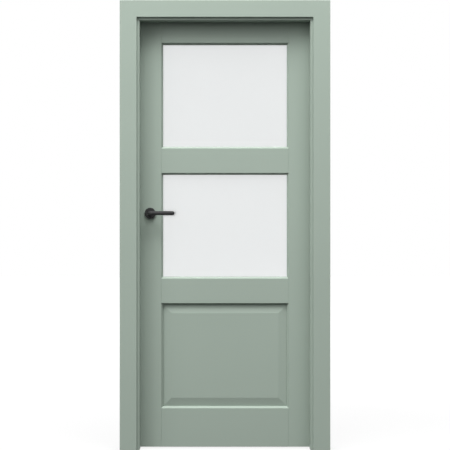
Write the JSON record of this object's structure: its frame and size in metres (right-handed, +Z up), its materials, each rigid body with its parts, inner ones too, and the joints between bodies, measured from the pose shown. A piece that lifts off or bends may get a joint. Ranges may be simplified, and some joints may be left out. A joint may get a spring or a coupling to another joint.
{
  "type": "interior door",
  "caption": "Painted interior door hung in its mitred frame and casings, with frosted panes over a raised panel, round-bar lever handles, a sprung latch and lift-off hinges.",
  "frame": {"origin": "middle of the doorway at floor level, halfway between the face of the front casing and the outside of the back lever", "axes": "+X across the doorway from the latch side to the hinge side, +Y from the push side to the side that the leaf opens to, +Z up"},
  "size_m": [0.984, 0.181, 2.105],
  "materials": {
    "painted_wood": "satin sage-green paint",
    "frosted_glass": "white frosted",
    "black_metal": "matt black powder coat",
    "zinc_steel": "zinc plated",
    "seal_rubber": "matt",
    "nylon": "matt",
    "beech": "bare"
  },
  "bodies": {
    "frame": {"jamb_left": "painted_wood", "jamb_right": "painted_wood", "jamb_head": "painted_wood", "casing_front_left": "painted_wood", "casing_front_right": "painted_wood", "casing_front_head": "painted_wood", "casing_tongues": "beech", "casing_back_left": "painted_wood", "casing_back_right": "painted_wood", "casing_back_head": "painted_wood", "seal_left": "seal_rubber", "seal_right": "seal_rubber", "seal_head": "seal_rubber", "corner_brackets": "zinc_steel", "corner_screws": "zinc_steel", "strike_plate": "zinc_steel", "strike_screws": "zinc_steel", "hinge_frame_lower": "black_metal", "hinge_frame_middle": "black_metal", "hinge_frame_upper": "black_metal", "hinge_pins": "zinc_steel", "hinge_washers": "nylon"},
    "leaf": {"stile_left": "painted_wood", "stile_right": "painted_wood", "top_rail": "painted_wood", "upper_mid_rail": "painted_wood", "lower_mid_rail": "painted_wood", "bottom_rail": "painted_wood", "rail_dowels": "beech", "raised_panel": "painted_wood", "glass_upper": "frosted_glass", "glass_lower": "frosted_glass", "glazing_seal_upper": "seal_rubber", "glazing_seal_lower": "seal_rubber", "beads_upper_front": "painted_wood", "beads_upper_back": "painted_wood", "beads_lower_front": "painted_wood", "beads_lower_back": "painted_wood", "beads_panel_front": "painted_wood", "beads_panel_back": "painted_wood", "hinge_leaf_lower": "black_metal", "hinge_leaf_middle": "black_metal", "hinge_leaf_upper": "black_metal", "lock_case": "zinc_steel", "lock_cover": "zinc_steel", "lock_forend": "zinc_steel", "lock_screws": "zinc_steel", "forend_screws": "zinc_steel", "latch_spring": "zinc_steel", "rose_base_front": "zinc_steel", "rose_base_back": "zinc_steel", "rose_cover_front": "black_metal", "rose_cover_back": "black_metal", "rose_bolts": "zinc_steel"},
    "lever": {"lever_front": "black_metal", "lever_back": "black_metal", "spindle": "zinc_steel", "lever_grub_screws": "zinc_steel", "lock_follower": "zinc_steel"},
    "latch": {"latch_bolt": "zinc_steel"}
  },
  "joints": [
    {"name": "leaf_swing", "type": "hinge", "parent": "frame", "child": "leaf", "pos_m": [0.4305, 0.023, 0], "axis": [0, 0, -1], "range_deg": [0, 170]},
    {"name": "lever_turn", "type": "hinge", "parent": "leaf", "child": "lever", "pos_m": [-0.354, 0.0105, 1.11], "axis": [0, 1, 0], "range_deg": [0, 40], "stiffness_Nm_per_rad": 1.2, "springref_deg": -34.38},
    {"name": "latch_slide", "type": "slide", "parent": "leaf", "child": "latch", "axis": [1, 0, 0], "range_m": [0, 0.012], "deforming": ["latch_spring"]}
  ],
  "couplings": [
    {"joint": "latch_slide", "follows": "lever_turn", "m_per_rad": 0.017188}
  ]
}
